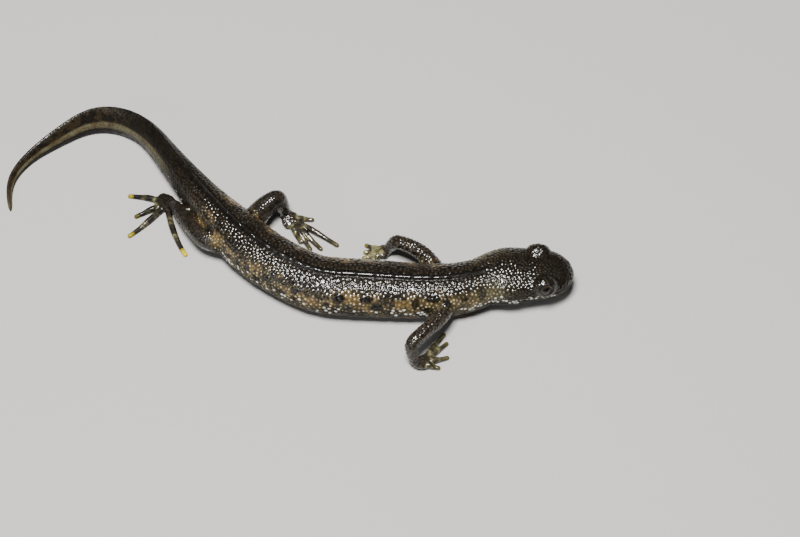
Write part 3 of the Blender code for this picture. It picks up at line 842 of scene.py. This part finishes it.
def new_group(name, inputs, outputs):
    """An empty shader group with named float inputs and outputs."""
    group = bpy.data.node_groups.new(name, "ShaderNodeTree")
    for label, value in inputs.items():
        socket = group.interface.new_socket(label, in_out="INPUT", socket_type="NodeSocketFloat")
        socket.default_value = value
    for label in outputs:
        group.interface.new_socket(label, in_out="OUTPUT", socket_type="NodeSocketFloat")
    return group, group.nodes.new("NodeGroupInput"), group.nodes.new("NodeGroupOutput")


def feed(tree, node, values):
    """Gives a node's inputs their values: a link from another socket, or a plain number or colour."""
    for label, value in values.items():
        if isinstance(value, bpy.types.NodeSocket):
            tree.links.new(value, node.inputs[label])
        else:
            node.inputs[label].default_value = value


def math_node(tree, operation, first, second, clamp=False):
    """A math node. Returns its output."""
    node = tree.nodes.new("ShaderNodeMath")
    node.operation = operation
    node.use_clamp = clamp
    feed(tree, node, {0: first, 1: second})
    return node.outputs[0]


def noise(tree, scale, detail=3.0, roughness=0.55, distortion=0.0):
    """Noise in the object's own coordinates. Returns its value's output."""
    place = tree.nodes.new("ShaderNodeTexCoord").outputs["Object"]
    node = tree.nodes.new("ShaderNodeTexNoise")
    feed(tree, node, {"Vector": place, "Scale": scale, "Detail": detail})
    feed(tree, node, {"Roughness": roughness, "Distortion": distortion})
    return node.outputs["Fac"]


def ramp(tree, value, low, high):
    """Turns low to 0 and high to 1, with a soft ramp between."""
    node = tree.nodes.new("ShaderNodeMapRange")
    node.interpolation_type = "SMOOTHSTEP"
    feed(tree, node, {"Value": value, "From Min": low, "From Max": high})
    return node.outputs["Result"]


def mix(tree, share, first, second):
    """Mixes two colours. Each is a socket or an (r, g, b)."""
    node = tree.nodes.new("ShaderNodeMix")
    node.data_type = "RGBA"
    node.clamp_factor = True
    first, second = ((*value, 1) if isinstance(value, tuple) else value for value in (first, second))
    feed(tree, node, {0: share, 6: first, 7: second})
    return node.outputs[2]


print("node helpers ready")


# %% [markdown]
# The mottle is noise cut to a soft-edged mask. The film lowers the roughness in pools, where water stands.

# %% The two shared groups
mottle, given, wanted = new_group("soft mottle", {"Scale": 900.0, "Edge": 0.12}, ["Mask"])
cloud = noise(mottle, given.outputs["Scale"], 4.0, 0.62, 0.4)
lower_edge = math_node(mottle, "SUBTRACT", 0.5, given.outputs["Edge"])
upper_edge = math_node(mottle, "ADD", 0.5, given.outputs["Edge"])
mottle.links.new(ramp(mottle, cloud, lower_edge, upper_edge), wanted.inputs["Mask"])

film_inputs = {"Driest": 0.5, "Wettest": 0.2, "Scale": 420.0}
film, given, wanted = new_group("damp film", film_inputs, ["Roughness", "Wetness"])
pools = ramp(film, noise(film, given.outputs["Scale"], 3.0, 0.6), 0.38, 0.62)
span = math_node(film, "SUBTRACT", given.outputs["Driest"], given.outputs["Wettest"])
smoother = math_node(film, "MULTIPLY", pools, span)
roughness = math_node(film, "SUBTRACT", given.outputs["Driest"], smoother)
film.links.new(roughness, wanted.inputs["Roughness"])
film.links.new(pools, wanted.inputs["Wetness"])


def use_group(tree, group, **values):
    node = tree.nodes.new("ShaderNodeGroup")
    node.node_tree = group
    feed(tree, node, values)
    return node


print("groups:", mottle.name, film.name)

# %% [markdown]
# The skin's colour is built up as a painter would: dark brown first, ochre on the flanks, orange on the
# belly, black spots over both, the tail's pale band, and last the white tips of single granules.

# %% Skin material
BACK, BACK_LIGHT = (0.005, 0.0036, 0.0022), (0.03, 0.021, 0.01)
LEG_DARK, LEG_LIGHT = (0.01, 0.0075, 0.0055), (0.063, 0.047, 0.03)
OCHRE, OLIVE, OCHRE_PALE = (0.17, 0.11, 0.038), (0.07, 0.058, 0.026), (0.6, 0.5, 0.3)
CHEEK = (0.16, 0.145, 0.075)
BLACK = (0.0025, 0.0022, 0.002)
ORANGE, ORANGE_DEEP = (0.72, 0.24, 0.012), (0.45, 0.12, 0.008)
BAND, BAND_WARM = (0.25, 0.225, 0.125), (0.15, 0.11, 0.05)
WHITE, CREAM, YELLOW = (0.74, 0.73, 0.66), (0.2, 0.18, 0.085), (0.42, 0.33, 0.003)

wet_skin, tree, shader = new_material("wet_skin")


def times(first, second):
    return math_node(tree, "MULTIPLY", first, second)


def most(first, second):
    return math_node(tree, "MAXIMUM", first, second)


def without(value):
    return math_node(tree, "SUBTRACT", 1.0, value, clamp=True)


def paint(share, over):
    """Paints over the colour so far, by a share or a mask."""
    global colour
    colour = mix(tree, share, colour, over)


def has(name):
    """Reads a marking from the mesh."""
    node = tree.nodes.new("ShaderNodeAttribute")
    node.attribute_name = name
    return node.outputs["Fac"]


print("colours from", BACK, "on the back to", ORANGE, "on the belly")

# %% [markdown]
# Under everything lie the dark brown back and the slightly lighter legs. A broad mottle shares the flanks
# between ochre and olive. The large markings follow.

# %% Ground colours and large markings
fine = use_group(tree, mottle, Scale=1500.0, Edge=0.16).outputs["Mask"]
broad = use_group(tree, mottle, Scale=330.0, Edge=0.1).outputs["Mask"]
patchy = use_group(tree, mottle, Scale=650.0, Edge=0.06).outputs["Mask"]
back = mix(tree, times(fine, 0.45), BACK, BACK_LIGHT)
leg_skin = mix(tree, times(fine, 0.6), LEG_DARK, LEG_LIGHT)
colour = mix(tree, has("leg"), back, leg_skin)
flank_share = times(has("flank"), math_node(tree, "ADD", 0.25, times(broad, 0.7)))
paint(flank_share, mix(tree, times(broad, has("ochre")), OLIVE, OCHRE))
paint(times(has("cheek"), 0.45), CHEEK)
paint(times(has("tail_olive"), times(patchy, 0.22)), BAND_WARM)
# Painted shade in the ridge's grooves and under the jaw, and the tail's own dark lower edge.
paint(has("dark"), BLACK)
paint(has("belly"), mix(tree, fine, ORANGE_DEEP, ORANGE))
paint(times(has("tail_band"), 0.85), mix(tree, broad, BAND_WARM, BAND))
paint(times(has("tail_tip"), 0.6), BAND_WARM)
flank_spots = times(has("spot"), has("flank"))
dark_spots = most(flank_spots, times(has("blotch"), has("belly")))
paint(times(dark_spots, 0.9), BLACK)
print("nodes for the ground:", len(tree.nodes))

# %% [markdown]
# The skin is painted darkest between the granules, a painted shade in the hollows, and palest on their tops,
# partly each granule's own tone and partly a painted highlight; this makes it look grainy from afar. The
# knuckles, toe tips, lip highlight and white tips come last, as they lie over all else.

# %% Granules and small markings
# Painted shade in the hollows between the granules, a little lighter on the flanks.
painted_gap_shade = math_node(tree, "SUBTRACT", 0.74, times(has("flank"), 0.16))
paint(times(without(has("granule")), painted_gap_shade), BLACK)
# The pale granule tops are partly each granule's own tone and partly a painted highlight.
top_of_granule = times(ramp(tree, has("granule"), 0.35, 0.85), has("tone"))
speck = times(ramp(tree, has("granule"), 0.58, 0.95), times(has("tone"), has("tone")))
ochre_top = times(times(speck, most(has("flank"), has("cheek"))), without(dark_spots))
ochre_top = times(ochre_top, math_node(tree, "ADD", 0.4, times(broad, 0.5)))
paint(ochre_top, OCHRE_PALE)
brown_top = times(times(top_of_granule, without(has("flank"))), without(has("dark")))
paint(times(brown_top, 0.45), BACK_LIGHT)
# Painted shade in the folds and grooves.
paint(times(has("fold"), 0.7), BLACK)
pale_digit = most(times(has("digit_joint"), 0.6), times(has("pale_hand"), has("digit")))
pale_digit = times(pale_digit, math_node(tree, "ADD", 0.12, times(patchy, 0.88)))
paint(pale_digit, CREAM)
paint(has("digit_tip"), YELLOW)
# A painted highlight along the lip's edge.
paint(times(times(has("lip"), fine), 0.6), CREAM)
paint(times(has("white_tip"), 0.85), WHITE)
feed(tree, shader, {"Base Color": colour})
print("nodes for the colour:", len(tree.nodes))

# %% [markdown]
# The water film is the shader's coat: full where the skin is wet, and nearly none on belly and tail. A bump
# of a few hundredths of a millimetre roughens the surface below it, finer than the mesh can hold.

# %% Gloss and bump
damp = use_group(tree, film, Driest=0.5, Wettest=0.3, Scale=700.0)
wet_share = math_node(tree, "ADD", 0.6, times(damp.outputs["Wetness"], 0.4))
PIMPLE_SCALE, GRAIN_SCALE, BUMP_DEPTH = 4200.0, 5200.0, 0.05 * MM
place = tree.nodes.new("ShaderNodeTexCoord").outputs["Object"]
pimples = tree.nodes.new("ShaderNodeTexVoronoi")
feed(tree, pimples, {"Scale": PIMPLE_SCALE, "Vector": place})
grain = times(noise(tree, GRAIN_SCALE, 3.0), 0.8)
fine_relief = math_node(tree, "SUBTRACT", grain, times(pimples.outputs["Distance"], 0.7))
bump = tree.nodes.new("ShaderNodeBump")
feed(tree, bump, {"Distance": BUMP_DEPTH, "Strength": 0.6, "Height": fine_relief})
feed(tree, shader, {
    "Roughness": damp.outputs["Roughness"], "Normal": bump.outputs["Normal"],
    "Coat Weight": times(wet_share, has("wet")), "Coat Roughness": 0.08,
    "Specular IOR Level": 0.1, "Coat IOR": 1.5,
})
skin_mesh.materials.append(wet_skin)
print("skin nodes:", len(tree.nodes))

# %% [markdown]
# The iris is dark gold with darker clouds around a round black pupil. The rest of the ball is nearly black.

# %% Eye material
PUPIL_EDGE, IRIS_EDGE = 0.15, 0.28  # angles from the axis, as shares of a half turn
GOLD, GOLD_DARK, EYE_BLACK = (0.026, 0.016, 0.006), (0.005, 0.0035, 0.0025), (0.002, 0.002, 0.003)
wet_eye, tree, shader = new_material("wet_eye")
clouds = use_group(tree, mottle, Scale=2600.0, Edge=0.14).outputs["Mask"]
iris = mix(tree, clouds, GOLD_DARK, GOLD)
from_pupil = has("from_pupil")
colour = mix(tree, ramp(tree, from_pupil, PUPIL_EDGE - 0.01, PUPIL_EDGE + 0.01), EYE_BLACK, iris)
paint(ramp(tree, from_pupil, IRIS_EDGE - 0.03, IRIS_EDGE + 0.02), EYE_BLACK)
tear = use_group(tree, film, Driest=0.2, Wettest=0.08, Scale=500.0)
feed(tree, shader, {
    "Base Color": colour, "Roughness": tear.outputs["Roughness"],
    "Coat Weight": 0.8, "Coat Roughness": 0.02, "Specular IOR Level": 0.1,
})
for eye in eyes.values():
    eye.data.materials.append(wet_eye)
print("eye nodes:", len(tree.nodes))

# %% [markdown]
# The skin takes the place of every flesh node, and each eye that of its ball. All three ride on the one body.

# %% Put the pieces on the frame
flesh = [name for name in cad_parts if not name.endswith("_eye")]
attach(skin, "root")
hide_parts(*flesh)
for side, eye in eyes.items():
    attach(eye, "root")
    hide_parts(f"{side}_eye")
print("flesh nodes replaced:", len(flesh))

# %% [markdown]
# ## Studio
# A plain pale floor, one soft light overhead, which gives the wet granules their glitter, and a weaker one
# low on the left, which gives the near thigh its sheen.

# %% Floor and lights
bpy.ops.mesh.primitive_plane_add(size=4)
floor = bpy.context.object
floor.name = "studio_floor"
paper, tree, shader = new_material("pale_paper")
feed(tree, shader, {"Base Color": (0.36, 0.355, 0.342, 1), "Roughness": 0.85})
floor.data.materials.append(paper)


def add_light(name, place, size, power, colour):
    """A square soft light that points at the newt's middle."""
    light = bpy.data.lights.new(name, "AREA")
    light.size = size
    light.energy = power
    light.color = colour
    made = add_object(name, light)
    made.location = place
    made.rotation_euler = Vector(place).to_track_quat("Z", "Y").to_euler()


add_light("overhead_softbox", (-0.03, -0.12, 0.6), 0.16, 11.5, (1.0, 0.99, 0.97))
add_light("low_fill", (-0.42, -0.4, 0.3), 0.2, 0.9, (0.96, 0.98, 1.0))
world = bpy.data.worlds.new("studio")
world.use_nodes = True
background = world.node_tree.nodes["Background"]
feed(world.node_tree, background, {"Color": (0.75, 0.77, 0.8, 1), "Strength": 0.06})
bpy.context.scene.world = world

# %% [markdown]
# The camera looks down along +Y from 58 degrees above the horizon, the picture's own angle.

# %% Camera
VIEW_DISTANCE, VIEW_ELEVATION, HALF_PICTURE = 0.5, math.radians(58), 0.074
AIM = Vector((0.02115, -0.00538, 0))
camera_data = bpy.data.cameras.new("camera")
camera_data.sensor_width = 36
camera_data.lens = camera_data.sensor_width / 2 * VIEW_DISTANCE / HALF_PICTURE
camera_data.clip_start = 0.01
camera = add_object("camera", camera_data)
camera.location = AIM + VIEW_DISTANCE * Vector((0, -math.cos(VIEW_ELEVATION), math.sin(VIEW_ELEVATION)))
camera.rotation_euler = (math.pi / 2 - VIEW_ELEVATION, 0, 0)
bpy.context.scene.camera = camera
print("lens:", round(camera_data.lens, 1), "mm")
